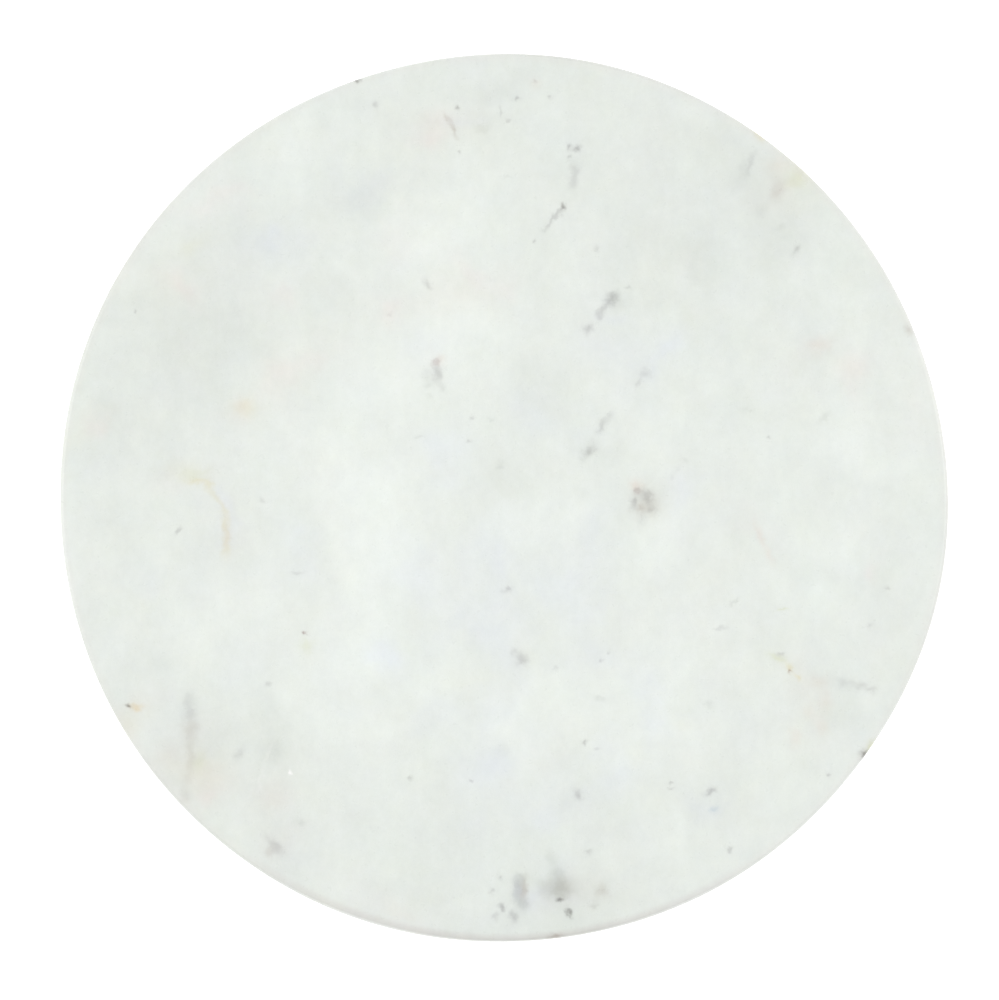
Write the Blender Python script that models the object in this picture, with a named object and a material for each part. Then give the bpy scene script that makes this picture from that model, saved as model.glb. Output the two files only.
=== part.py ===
"""A lazy susan: a round marble slab that turns on a thin aluminium ball-bearing ring with rubber feet.

The outer ring stands still on the table. The inner ring is screwed to the underside of the slab and
turns inside the outer one on a single row of balls, which a thin nylon cage keeps apart.
Metres, +Z up, with the origin on the table under the middle of the slab. Everything turns about +Z,
except the balls, which also roll about the line square to their two contact points.
"""

import math

import bmesh
import bpy
from mathutils import Matrix, Vector

MM = 0.001
FIT = 0.3 * MM  # the gap kept between two pieces that touch

# The stone slab.
SLAB_RADIUS = 203.0 * MM
SLAB_THICKNESS = 16.0 * MM
SLAB_TOP_EASE = 2.0 * MM
SLAB_BOTTOM_EASE = 1.2 * MM

# The bearing: one row of quarter-inch balls on a pitch circle, in the gap between the two rings.
BALL_COUNT = 24
BALL_RADIUS = 3.175 * MM
PITCH_RADIUS = 130.0 * MM
GROOVE_RADIUS = BALL_RADIUS + 0.325 * MM
WALL_OFFSET = 1.2 * MM  # from the pitch circle to the wall of either ring
CONTACT_ANGLE = math.radians(45.0)

# The stack, from the table up.
FOOT_HEIGHT = 3.0 * MM
RING_HEIGHT = 11.0 * MM
INNER_RISE = 2.0 * MM
PAD_THICKNESS = 1.0 * MM

OUTER_BOTTOM = FOOT_HEIGHT
OUTER_TOP = OUTER_BOTTOM + RING_HEIGHT
INNER_BOTTOM = OUTER_BOTTOM + INNER_RISE
INNER_TOP = OUTER_TOP + INNER_RISE
BALL_HEIGHT = (INNER_BOTTOM + OUTER_TOP) / 2
PAD_BOTTOM = INNER_TOP + FIT
SLAB_BOTTOM = PAD_BOTTOM + PAD_THICKNESS + FIT
SLAB_TOP = SLAB_BOTTOM + SLAB_THICKNESS

# The rings, apart from the ball groove.
OUTER_RADIUS = 150.0 * MM
OUTER_SHOULDER = 3.0 * MM
RING_CHAMFER = 0.8 * MM
INNER_BORE = 108.0 * MM
FLANGE_RADIUS = 122.0 * MM  # where the screw flange meets the thick race
FLANGE_THICKNESS = 5.0 * MM
FLANGE_BOTTOM = INNER_TOP - FLANGE_THICKNESS

# The cage: a thin upright strip with one pocket for each ball.
CAGE_THICKNESS = 1.0 * MM
CAGE_HEIGHT = 8.4 * MM
POCKET_RADIUS = BALL_RADIUS + 0.25 * MM

# The countersunk screws that hold the inner ring, and the inserts bonded into the stone for them.
SCREW_COUNT = 6
SCREW_CIRCLE = 115.0 * MM
SCREW_LENGTH = 12.0 * MM
SHANK_RADIUS = 2.4 * MM
HEAD_RADIUS = 4.6 * MM
SOCKET_RADIUS = 1.75 * MM
SOCKET_DEPTH = 1.6 * MM
SCREW_HOLE_RADIUS = 2.8 * MM
COUNTERSINK_RADIUS = 5.2 * MM
HEAD_BOTTOM = FLANGE_BOTTOM + COUNTERSINK_RADIUS - HEAD_RADIUS - FIT * math.sqrt(2)
INSERT_RADIUS = 4.2 * MM
INSERT_BORE = 2.8 * MM
INSERT_LENGTH = 8.0 * MM
INSERT_GROOVE = 0.5 * MM
STONE_HOLE_RADIUS = INSERT_RADIUS + FIT
STONE_HOLE_DEPTH = INSERT_LENGTH + 3 * FIT
PAD_RADIUS = 6.0 * MM
PAD_BORE = 3.2 * MM

# The rubber feet, each pressed by its stem into the outer ring.
FOOT_COUNT = 6
FOOT_CIRCLE = 141.0 * MM
FOOT_RADIUS = 7.5 * MM
FOOT_EASE = 0.8 * MM
STEM_RADIUS = 3.5 * MM
STEM_LENGTH = 4.0 * MM
STEM_LEAD = 0.7 * MM

# The plug that closes the hole through which the balls are loaded. It carries a piece of the groove.
PLUG_ANGLE = math.radians(105.0)
PLUG_RADIUS = 3.5 * MM
PLUG_RECESS = 1.0 * MM
PLUG_SLOT_WIDTH = 1.0 * MM
PLUG_SLOT_DEPTH = 1.2 * MM

# How finely round shapes are divided.
SLAB_STEPS = 96
RING_STEPS = 72
SMALL_STEPS = 12
POCKET_STEPS = 10
ARC_STEPS = 3
GROOVE_STEPS = 5
SHARP_ANGLE = math.radians(35.0)
OVERCUT = 1.0 * MM  # how far a cutter runs past the face it cuts


def clear_scene():
    for obj in list(bpy.data.objects):
        bpy.data.objects.remove(obj, do_unlink=True)


def make_material(name, color, roughness, metallic=0.0):
    material = bpy.data.materials.new(name)
    material.use_nodes = True
    shader = material.node_tree.nodes["Principled BSDF"]
    shader.inputs["Base Color"].default_value = (*color, 1.0)
    shader.inputs["Roughness"].default_value = roughness
    shader.inputs["Metallic"].default_value = metallic
    return material


def marble():
    return make_material("marble", (0.80, 0.83, 0.79), 0.28)


def aluminium():
    return make_material("aluminium", (0.78, 0.79, 0.80), 0.32, 1.0)


def steel():
    return make_material("steel", (0.62, 0.62, 0.63), 0.25, 1.0)


def brass():
    return make_material("brass", (0.78, 0.62, 0.32), 0.35, 1.0)


def rubber():
    return make_material("rubber", (0.03, 0.03, 0.03), 0.75)


def silicone():
    return make_material("silicone", (0.72, 0.73, 0.72), 0.55)


def nylon():
    return make_material("nylon", (0.85, 0.84, 0.80), 0.50)


def make_axis(name):
    """An empty on the vertical axis, which a body turns about or stands on."""
    axis = bpy.data.objects.new(name, None)
    bpy.context.collection.objects.link(axis)
    return axis


def make_object(name, mesh, material=None, parent=None, location=(0, 0, 0), turn=(0, 0, 0)):
    obj = bpy.data.objects.new(name, mesh)
    bpy.context.collection.objects.link(obj)
    if material and not mesh.materials:
        mesh.materials.append(material)
    obj.location = location
    obj.rotation_euler = turn
    obj.parent = parent
    return obj


def mesh_from(bm, name):
    """Turns a bmesh into a mesh with its faces pointing out and its round sides smooth."""
    bmesh.ops.recalc_face_normals(bm, faces=bm.faces)
    mesh = bpy.data.meshes.new(name)
    bm.to_mesh(mesh)
    bm.free()
    mesh.shade_smooth()
    mesh.set_sharp_from_angle(angle=SHARP_ANGLE)
    return mesh


def arc(centre, radius, start, end, steps):
    """Points (r, z) on an arc. Its angles are in degrees, from the +r direction towards +z."""
    angles = [math.radians(start + (end - start) * i / steps) for i in range(steps + 1)]
    return [(centre[0] + radius * math.cos(a), centre[1] + radius * math.sin(a)) for a in angles]


def turned(name, profile, steps):
    """A mesh made by turning a profile of (r, z) points about Z. A profile that starts and ends on
    the axis makes a solid piece, and any other is closed into a ring."""
    bm = bmesh.new()
    points = [bm.verts.new((r, 0, z)) for r, z in profile]
    edges = [bm.edges.new(pair) for pair in zip(points, points[1:])]
    if profile[0][0] > 0:
        edges.append(bm.edges.new((points[-1], points[0])))
    bmesh.ops.spin(
        bm, geom=points + edges, cent=(0, 0, 0), axis=(0, 0, 1), angle=math.tau, steps=steps, use_merge=True
    )
    bmesh.ops.remove_doubles(bm, verts=bm.verts, dist=MM / 1000)
    return mesh_from(bm, name)


def add_cylinder(bm, radius, start, end, steps):
    """Adds a cylinder between two points to a bmesh."""
    start, end = Vector(start), Vector(end)
    along = (end - start).normalized().to_track_quat("Z", "Y").to_matrix().to_4x4()
    bmesh.ops.create_cone(
        bm,
        cap_ends=True,
        segments=steps,
        radius1=radius,
        radius2=radius,
        depth=(end - start).length,
        matrix=Matrix.Translation((start + end) / 2) @ along,
    )


def cut(obj, mesh, location=(0, 0, 0), turn=(0, 0, 0)):
    """Cuts a mesh out of an object with a Boolean."""
    cutter = make_object(mesh.name, mesh, location=location, turn=turn)
    cutter.hide_render = True
    cutter.display_type = "WIRE"
    boolean = obj.modifiers.new(mesh.name, "BOOLEAN")
    boolean.operation = "DIFFERENCE"
    boolean.solver = "EXACT"
    boolean.object = cutter


def copies(mesh, places, name):
    """One mesh with a copy of another at each place."""
    bm = bmesh.new()
    for place in places:
        first = len(bm.verts)
        bm.from_mesh(mesh)
        bm.verts.ensure_lookup_table()
        bmesh.ops.translate(bm, verts=bm.verts[first:], vec=place)
    return mesh_from(bm, name)


def around(count, first=0.0):
    """The angles of pieces spaced evenly round the axis."""
    return [first + math.tau * i / count for i in range(count)]


def polar(radius, angle, height):
    return Vector((radius * math.cos(angle), radius * math.sin(angle), height))


def groove(side):
    """The ball groove in a ring's wall, from its lower lip to its upper one. Side is +1 for the ring
    outside the pitch circle and -1 for the ring inside it."""
    reach = math.degrees(math.acos(WALL_OFFSET / GROOVE_RADIUS))
    points = arc((0, BALL_HEIGHT), GROOVE_RADIUS, -reach, reach, GROOVE_STEPS)
    return [(PITCH_RADIUS + side * r, z) for r, z in points]


def screw_angles():
    return around(SCREW_COUNT, math.radians(30.0))


def foot_angles():
    return around(FOOT_COUNT)


def marble_slab(material, parent):
    """The slab, with blind holes in its underside for the inserts."""
    top_corner = (SLAB_RADIUS - SLAB_TOP_EASE, SLAB_TOP - SLAB_TOP_EASE)
    bottom_corner = (SLAB_RADIUS - SLAB_BOTTOM_EASE, SLAB_BOTTOM + SLAB_BOTTOM_EASE)
    profile = [
        (0, SLAB_BOTTOM),
        *arc(bottom_corner, SLAB_BOTTOM_EASE, -90, 0, ARC_STEPS),
        *arc(top_corner, SLAB_TOP_EASE, 0, 90, ARC_STEPS),
        (0, SLAB_TOP),
    ]
    slab = make_object("marble_top", turned("marble_top", profile, SLAB_STEPS), material, parent)
    holes = bmesh.new()
    for angle in screw_angles():
        mouth = polar(SCREW_CIRCLE, angle, SLAB_BOTTOM - OVERCUT)
        end = polar(SCREW_CIRCLE, angle, SLAB_BOTTOM + STONE_HOLE_DEPTH)
        add_cylinder(holes, STONE_HOLE_RADIUS, mouth, end, SMALL_STEPS)
    cut(slab, mesh_from(holes, "insert_holes_cutter"))


def inner_ring(material, parent):
    """The turning ring: a thick race, with a thinner flange inside it for the screws."""
    wall = PITCH_RADIUS - WALL_OFFSET
    profile = [
        (INNER_BORE, FLANGE_BOTTOM),
        (FLANGE_RADIUS - RING_CHAMFER, FLANGE_BOTTOM),
        (FLANGE_RADIUS, FLANGE_BOTTOM - RING_CHAMFER),
        (FLANGE_RADIUS, INNER_BOTTOM),
        (wall, INNER_BOTTOM),
        *groove(-1),
        (wall, INNER_TOP),
        (INNER_BORE + RING_CHAMFER, INNER_TOP),
        (INNER_BORE, INNER_TOP - RING_CHAMFER),
    ]
    ring = make_object("inner_race_ring", turned("inner_race_ring", profile, RING_STEPS), material, parent)
    countersunk_hole = [
        (0, -OVERCUT),
        (COUNTERSINK_RADIUS + OVERCUT, -OVERCUT),
        (SCREW_HOLE_RADIUS, COUNTERSINK_RADIUS - SCREW_HOLE_RADIUS),
        (SCREW_HOLE_RADIUS, FLANGE_THICKNESS + OVERCUT),
        (0, FLANGE_THICKNESS + OVERCUT),
    ]
    places = [polar(SCREW_CIRCLE, angle, FLANGE_BOTTOM) for angle in screw_angles()]
    cut(ring, copies(turned("screw_hole", countersunk_hole, SMALL_STEPS), places, "screw_holes_cutter"))


def outer_ring(material, parent):
    """The standing ring, with blind holes below for the feet and a side hole for loading the balls."""
    wall = PITCH_RADIUS + WALL_OFFSET
    shoulder = (OUTER_RADIUS - OUTER_SHOULDER, OUTER_TOP - OUTER_SHOULDER)
    profile = [
        (wall, OUTER_BOTTOM),
        *groove(+1),
        (wall, OUTER_TOP),
        *arc(shoulder, OUTER_SHOULDER, 90, 0, ARC_STEPS),
        (OUTER_RADIUS, OUTER_BOTTOM + RING_CHAMFER),
        (OUTER_RADIUS - RING_CHAMFER, OUTER_BOTTOM),
    ]
    ring = make_object("outer_race_ring", turned("outer_race_ring", profile, RING_STEPS), material, parent)
    holes = bmesh.new()
    for angle in foot_angles():
        mouth = polar(FOOT_CIRCLE, angle, OUTER_BOTTOM - OVERCUT)
        end = polar(FOOT_CIRCLE, angle, OUTER_BOTTOM + STEM_LENGTH + FIT)
        add_cylinder(holes, STEM_RADIUS + FIT, mouth, end, SMALL_STEPS)
    inside = polar(PITCH_RADIUS, PLUG_ANGLE, BALL_HEIGHT)
    outside = polar(OUTER_RADIUS + OVERCUT, PLUG_ANGLE, BALL_HEIGHT)
    add_cylinder(holes, PLUG_RADIUS + FIT, inside, outside, SMALL_STEPS)
    cut(ring, mesh_from(holes, "foot_and_loading_holes_cutter"))


def loading_plug(material, parent):
    """A round plug with a screwdriver slot outside and its piece of the ball groove inside."""
    length = OUTER_RADIUS - PLUG_RECESS - PITCH_RADIUS
    profile = [
        (0, 0),
        (PLUG_RADIUS, 0),
        (PLUG_RADIUS, length - FIT),
        (PLUG_RADIUS - FIT, length),
        (0, length),
    ]
    place = polar(PITCH_RADIUS, PLUG_ANGLE, BALL_HEIGHT)
    turn = (0, math.pi / 2, PLUG_ANGLE)
    mesh = turned("ball_loading_plug", profile, SMALL_STEPS)
    plug = make_object("ball_loading_plug", mesh, material, parent, place, turn)

    wall = PITCH_RADIUS + WALL_OFFSET
    core = PITCH_RADIUS - WALL_OFFSET
    low, high = BALL_HEIGHT - CAGE_HEIGHT, BALL_HEIGHT + CAGE_HEIGHT
    race = [(core, low), (wall, low), *groove(+1), (wall, high), (core, high)]
    cut(plug, turned("race_cutter", race, RING_STEPS))

    slot = bmesh.new()
    middle = Vector((0, 0, length - PLUG_SLOT_DEPTH + OVERCUT))
    size = Matrix.Diagonal((PLUG_SLOT_WIDTH, 3 * PLUG_RADIUS, 2 * OVERCUT, 1))
    bmesh.ops.create_cube(slot, size=1.0, matrix=Matrix.Translation(middle) @ size)
    cut(plug, mesh_from(slot, "plug_slot_cutter"), place, turn)


def ball_cage(material, parent):
    """An upright strip that floats between the rings, with a round pocket for each ball."""
    low, high = BALL_HEIGHT - CAGE_HEIGHT / 2, BALL_HEIGHT + CAGE_HEIGHT / 2
    inside, outside = PITCH_RADIUS - CAGE_THICKNESS / 2, PITCH_RADIUS + CAGE_THICKNESS / 2
    profile = [(inside, low), (outside, low), (outside, high), (inside, high)]
    cage = make_object("ball_cage", turned("ball_cage", profile, RING_STEPS), material, parent)
    pockets = bmesh.new()
    for angle in around(BALL_COUNT):
        start = polar(inside - OVERCUT, angle, BALL_HEIGHT)
        end = polar(outside + OVERCUT, angle, BALL_HEIGHT)
        add_cylinder(pockets, POCKET_RADIUS, start, end, POCKET_STEPS)
    cut(cage, mesh_from(pockets, "ball_pockets_cutter"))


def bearing_balls(material, parent):
    """The balls. Each one's own Z is the axis it rolls about, square to the line between its
    contacts with the two grooves."""
    bm = bmesh.new()
    bmesh.ops.create_icosphere(bm, subdivisions=2, radius=BALL_RADIUS)
    mesh = mesh_from(bm, "bearing_ball")
    for number, angle in enumerate(around(BALL_COUNT), start=1):
        turn = (0, math.pi / 2 - CONTACT_ANGLE, angle)
        place = polar(PITCH_RADIUS, angle, BALL_HEIGHT)
        make_object(f"bearing_ball_{number:02d}", mesh, material, parent, place, turn)


def ring_screws(material, parent):
    """Countersunk machine screws, driven upwards through the inner ring with a hex key."""
    profile = [
        (0, 0),
        (HEAD_RADIUS, 0),
        (SHANK_RADIUS, HEAD_RADIUS - SHANK_RADIUS),
        (SHANK_RADIUS, SCREW_LENGTH - FIT),
        (SHANK_RADIUS - FIT, SCREW_LENGTH),
        (0, SCREW_LENGTH),
    ]
    mesh = turned("ring_screw", profile, SMALL_STEPS)
    socket = bmesh.new()
    add_cylinder(socket, SOCKET_RADIUS, (0, 0, -OVERCUT), (0, 0, SOCKET_DEPTH), 6)
    socket = mesh_from(socket, "screw_socket_cutter")
    for number, angle in enumerate(screw_angles(), start=1):
        place = polar(SCREW_CIRCLE, angle, HEAD_BOTTOM)
        cut(make_object(f"ring_screw_{number}", mesh, material, parent, place), socket, place)


def threaded_inserts(material, parent):
    """Brass sleeves bonded into the stone, with a groove round the middle that keys the resin."""
    middle = INSERT_LENGTH / 2
    profile = [
        (INSERT_BORE, 0),
        (INSERT_RADIUS, 0),
        (INSERT_RADIUS, middle - INSERT_GROOVE),
        (INSERT_RADIUS - INSERT_GROOVE, middle - INSERT_GROOVE),
        (INSERT_RADIUS - INSERT_GROOVE, middle + INSERT_GROOVE),
        (INSERT_RADIUS, middle + INSERT_GROOVE),
        (INSERT_RADIUS, INSERT_LENGTH),
        (INSERT_BORE, INSERT_LENGTH),
    ]
    mesh = turned("threaded_insert", profile, SMALL_STEPS)
    for number, angle in enumerate(screw_angles(), start=1):
        place = polar(SCREW_CIRCLE, angle, SLAB_BOTTOM + FIT)
        make_object(f"threaded_insert_{number}", mesh, material, parent, place)


def cushion_pads(material, parent):
    """Soft washers that keep the metal ring off the stone."""
    profile = [(PAD_BORE, 0), (PAD_RADIUS, 0), (PAD_RADIUS, PAD_THICKNESS), (PAD_BORE, PAD_THICKNESS)]
    mesh = turned("cushion_pad", profile, SMALL_STEPS)
    for number, angle in enumerate(screw_angles(), start=1):
        place = polar(SCREW_CIRCLE, angle, PAD_BOTTOM)
        make_object(f"cushion_pad_{number}", mesh, material, parent, place)


def rubber_feet(material, parent):
    """Round feet, whose stems press into the outer ring from below."""
    flange_top = FOOT_HEIGHT - FIT
    stem_top = FOOT_HEIGHT + STEM_LENGTH
    profile = [
        (0, 0),
        (FOOT_RADIUS - FOOT_EASE, 0),
        (FOOT_RADIUS, FOOT_EASE),
        (FOOT_RADIUS, flange_top),
        (STEM_RADIUS, flange_top),
        (STEM_RADIUS, stem_top - STEM_LEAD),
        (STEM_RADIUS - STEM_LEAD, stem_top),
        (0, stem_top),
    ]
    mesh = turned("rubber_foot", profile, SMALL_STEPS)
    for number, angle in enumerate(foot_angles(), start=1):
        make_object(f"rubber_foot_{number}", mesh, material, parent, polar(FOOT_CIRCLE, angle, 0))


def main():
    clear_scene()
    aluminium_metal, steel_metal = aluminium(), steel()

    base = make_axis("base_stand")
    outer_ring(aluminium_metal, base)
    loading_plug(steel_metal, base)
    rubber_feet(rubber(), base)

    turntable = make_axis("turntable_axis")
    marble_slab(marble(), turntable)
    threaded_inserts(brass(), turntable)
    cushion_pads(silicone(), turntable)
    inner_ring(aluminium_metal, turntable)
    ring_screws(steel_metal, turntable)

    cage = make_axis("cage_axis")
    ball_cage(nylon(), cage)
    bearing_balls(steel_metal, cage)


main()
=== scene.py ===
"""The looks of a lazy susan turntable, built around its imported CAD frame.

A round slab of pale green-white marble turns on a thin aluminium ball-bearing ring with rubber feet.
Metres, +Z up. Every piece stands where its CAD node does, and rides on that node's body.
"""

import math

import bmesh
import bpy
from mathutils import Matrix, Vector

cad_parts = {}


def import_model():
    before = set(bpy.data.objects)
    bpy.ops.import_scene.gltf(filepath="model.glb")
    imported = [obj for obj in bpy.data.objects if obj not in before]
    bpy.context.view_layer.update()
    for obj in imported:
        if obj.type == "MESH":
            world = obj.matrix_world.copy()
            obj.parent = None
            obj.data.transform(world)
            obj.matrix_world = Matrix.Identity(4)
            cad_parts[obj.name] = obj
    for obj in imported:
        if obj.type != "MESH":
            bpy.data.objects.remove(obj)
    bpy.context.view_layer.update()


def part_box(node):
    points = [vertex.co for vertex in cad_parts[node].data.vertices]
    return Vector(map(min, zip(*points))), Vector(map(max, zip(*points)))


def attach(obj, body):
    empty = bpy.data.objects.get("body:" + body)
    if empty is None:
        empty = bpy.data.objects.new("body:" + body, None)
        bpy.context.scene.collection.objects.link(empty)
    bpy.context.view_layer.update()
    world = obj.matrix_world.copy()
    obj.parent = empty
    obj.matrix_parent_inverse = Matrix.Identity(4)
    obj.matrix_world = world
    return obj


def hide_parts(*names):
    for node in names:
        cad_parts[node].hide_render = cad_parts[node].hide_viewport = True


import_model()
MM = 0.001

# Places and overall sizes come from the CAD nodes' boxes.
SLAB_LOW, SLAB_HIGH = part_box("marble_top")
INNER_LOW, INNER_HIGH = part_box("inner_race_ring")
OUTER_LOW, OUTER_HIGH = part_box("outer_race_ring")
CAGE_LOW, CAGE_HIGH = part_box("ball_cage")
SLAB_RADIUS = SLAB_HIGH.x
OUTER_RADIUS = OUTER_HIGH.x
INNER_WALL = INNER_HIGH.x

# Sections that a box doesn't give.
WALL_OFFSET = 1.2 * MM
PITCH_RADIUS = INNER_WALL + WALL_OFFSET
OUTER_WALL = PITCH_RADIUS + WALL_OFFSET
BALL_HEIGHT = (INNER_LOW.z + OUTER_HIGH.z) / 2
BALL_RADIUS = 3.175 * MM
GROOVE_RADIUS = 3.5 * MM
INNER_BORE = 108.0 * MM
FLANGE_RADIUS = 122.0 * MM
FLANGE_BOTTOM = INNER_HIGH.z - 5.0 * MM
SCREW_CIRCLE = 115.0 * MM
PLUG_END = 149.0 * MM
PLUG_RADIUS = 3.5 * MM
OVERCUT = 1.0 * MM
OUTLINE_INSET = 0.75 * MM  # how far inside the CAD slab its wavering outline lies, on average

SLAB_STEPS = 288
RING_STEPS = 240
HOLE_STEPS = 40

# What comes in sixes is the screws, sleeves, pads and feet.
SIX = range(1, 7)
BALL_NUMBERS = range(1, 25)


# ---------------------------------------------------------------- shapes


def box_middle(node):
    low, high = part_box(node)
    return (low + high) / 2


def node_angle(node):
    """The angle of a node's middle round the turntable's axis."""
    middle = box_middle(node)
    return math.atan2(middle.y, middle.x)


def arc(centre, radius, start, end, steps):
    """Points (r, z) on an arc. Its angles are in degrees, from the +r direction towards +z."""
    angles = [math.radians(start + (end - start) * i / steps) for i in range(steps + 1)]
    return [(centre[0] + radius * math.cos(a), centre[1] + radius * math.sin(a)) for a in angles]


def rounded(profile, radius, steps=3, skip=()):
    """A closed profile of (r, z) points with an arc in place of each corner that isn't skipped."""
    out = []
    count = len(profile)
    for i, (r, z) in enumerate(profile):
        if i in skip:
            out.append((r, z))
            continue
        here = Vector((r, z))
        before = Vector(profile[i - 1]) - here
        after = Vector(profile[(i + 1) % count]) - here
        reach = min(radius, before.length * 0.45, after.length * 0.45)
        start, end = here + before.normalized() * reach, here + after.normalized() * reach
        for k in range(steps + 1):
            t = k / steps
            point = start * (1 - t) ** 2 + here * 2 * t * (1 - t) + end * t**2
            out.append((point.x, point.y))
    return out


def finish_mesh(bm, name, sharp=38.0):
    bmesh.ops.recalc_face_normals(bm, faces=bm.faces)
    mesh = bpy.data.meshes.new(name)
    bm.to_mesh(mesh)
    bm.free()
    mesh.shade_smooth()
    mesh.set_sharp_from_angle(angle=math.radians(sharp))
    return mesh


def turned_bm(profile, steps):
    """A bmesh turned about Z. A profile that starts and ends on the axis makes a solid piece, and
    any other is closed into a ring."""
    bm = bmesh.new()
    rows = []
    for r, z in profile:
        if r < 1e-9:
            rows.append([bm.verts.new((0, 0, z))])
        else:
            angles = [math.tau * k / steps for k in range(steps)]
            rows.append([bm.verts.new((r * math.cos(a), r * math.sin(a), z)) for a in angles])
    pairs = list(zip(rows, rows[1:]))
    if profile[0][0] > 0:
        pairs.append((rows[-1], rows[0]))
    for a, b in pairs:
        for k in range(steps):
            n = (k + 1) % steps
            ring = [a[k % len(a)], a[n % len(a)], b[n % len(b)], b[k % len(b)]]
            ring = [v for i, v in enumerate(ring) if v is not ring[i - 1]]
            bm.faces.new(ring)
    return bm


def turned(name, profile, steps):
    return finish_mesh(turned_bm(profile, steps), name)


def cylinder_bm(bm, radius, start, end, steps):
    """Adds a cylinder between two points to a bmesh."""
    start, end = Vector(start), Vector(end)
    along = (end - start).normalized().to_track_quat("Z", "Y").to_matrix().to_4x4()
    bmesh.ops.create_cone(
        bm,
        cap_ends=True,
        segments=steps,
        radius1=radius,
        radius2=radius,
        depth=(end - start).length,
        matrix=Matrix.Translation((start + end) / 2) @ along,
    )


def polar(radius, angle, height):
    return Vector((radius * math.cos(angle), radius * math.sin(angle), height))


def bored(mesh, cutter_bm, sharp=38.0):
    """The mesh with a bmesh cut out of it by a Boolean that is applied at once."""
    cutter = bpy.data.objects.new("cutter", finish_mesh(cutter_bm, "cutter"))
    work = bpy.data.objects.new("work", mesh)
    for obj in (cutter, work):
        bpy.context.scene.collection.objects.link(obj)
    boolean = work.modifiers.new("cut", "BOOLEAN")
    boolean.operation = "DIFFERENCE"
    boolean.solver = "EXACT"
    boolean.object = cutter
    bpy.context.view_layer.update()
    result = bpy.data.meshes.new_from_object(work.evaluated_get(bpy.context.evaluated_depsgraph_get()))
    result.name = mesh.name
    for obj in (cutter, work):
        bpy.data.objects.remove(obj)
    result.shade_smooth()
    result.set_sharp_from_angle(angle=math.radians(sharp))
    return result


def place(name, mesh, material, body, node, slot, at=(0, 0, 0), turn=(0, 0, 0)):
    """A piece that stands for a CAD node: it rides on the node's body and takes the given material. Its slot
    is not used.
    """
    piece = bpy.data.objects.new(name, mesh)
    bpy.context.scene.collection.objects.link(piece)
    if not mesh.materials:
        mesh.materials.append(material)
    piece.location = at
    piece.rotation_euler = turn
    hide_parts(node)
    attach(piece, body)
    return piece


def place_on_screw_circle(name, mesh, material, node, slot):
    """Six copies of a piece that turn with the slab, each from the lowest level of its CAD node up."""
    for number in SIX:
        own = f"{node}_{number}"
        spot = polar(SCREW_CIRCLE, node_angle(own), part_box(own)[0].z)
        place(f"{name}_{number}", mesh, material, "turntable", own, slot, spot)


# ---------------------------------------------------------------- material nodes


class Shader:
    """A material under construction. Each method adds a node and returns its output."""

    def __init__(self, name):
        self.material = bpy.data.materials.new(name)
        self.material.use_nodes = True
        self.tree = self.material.node_tree
        self.bsdf = self.tree.nodes["Principled BSDF"]

    def feed(self, socket, value):
        if isinstance(value, bpy.types.NodeSocket):
            self.tree.links.new(value, socket)
        else:
            socket.default_value = value

    def node(self, kind, inputs, out=0, **settings):
        made = self.tree.nodes.new("ShaderNode" + kind)
        for key, value in settings.items():
            setattr(made, key, value)
        for key, value in inputs.items():
            self.feed(made.inputs[key], value)
        return made.outputs[out]

    def math(self, operation, a, b=0.0, c=0.0):
        return self.node("Math", {0: a, 1: b, 2: c}, operation=operation)

    def vector(self, operation, a, b=(0, 0, 0), c=(0, 0, 0)):
        return self.node("VectorMath", {0: a, 1: b, 2: c}, operation=operation)

    def scaled(self, vector, amount):
        return self.node("VectorMath", {0: vector, "Scale": amount}, operation="SCALE")

    def length(self, vector):
        return self.node("VectorMath", {0: vector}, out=1, operation="LENGTH")

    def split(self, vector):
        parts = self.node("SeparateXYZ", {0: vector}).node
        return parts.outputs[0], parts.outputs[1], parts.outputs[2]

    def coordinates(self):
        return self.node("TexCoord", {}, out="Object")

    def stretched(self, vector, scale):
        return self.node("Mapping", {"Vector": vector, "Scale": scale})

    def noise(self, vector, scale, detail=3.0, rough=0.5, out=0):
        inputs = {"Vector": vector, "Scale": scale, "Detail": detail, "Roughness": rough}
        return self.node("TexNoise", inputs, out=out)

    def ranged(self, value, low, high, to_low=0.0, to_high=1.0, smooth=False):
        kind = "SMOOTHSTEP" if smooth else "LINEAR"
        inputs = {"Value": value, "From Min": low, "From Max": high, "To Min": to_low, "To Max": to_high}
        return self.node("MapRange", inputs, interpolation_type=kind)

    def mixed(self, share, a, b):
        made = self.tree.nodes.new("ShaderNodeMix")
        made.data_type = "RGBA"
        self.feed(made.inputs[0], share)
        self.feed(made.inputs[6], a)
        self.feed(made.inputs[7], b)
        return made.outputs[2]

    def bump(self, height, distance, strength):
        return self.node("Bump", {"Height": height, "Distance": distance, "Strength": strength})

    def set(self, **values):
        """Sets or links the surface shader's sockets. An underscore stands for a space."""
        for key, value in values.items():
            self.feed(self.bsdf.inputs[key.replace("_", " ")], value)


# ---------------------------------------------------------------- marble

# Colours of the stone, and the painted shade and highlights on it, each as a change from its ground colour,
# in 8-bit sRGB levels.
GROUND = (230.2, 235.3, 229.3)
LIGHT = (1, 1, 1)
BLUE = (-2, -2, 6)
PINK = (3, -2.4, -1.2)
YELLOW = (0, -1, -7)
GREY = (-30, -32, -30)
BROWN = (-26, -32, -34)
DARK = (-95, -100, -98)
RED = (-75, -98, -95)
AMBER = (-3, -10, -27)
OLIVE = (-9, -9, -24)
ROSE = (-1, -8, -10)
MIST = (-7, -7, -7)
# White for thin streaks, and for one painted glint off a tiny chip.
WHITE_STREAK_AND_GLINT = (17, 14, 17)
RIM_TONE = (0, -1.8, -1.6)
# Painted shade: a dark line along the front of the rim.
RIM_PAINTED_SHADE = (-12, -15, -14)
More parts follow.
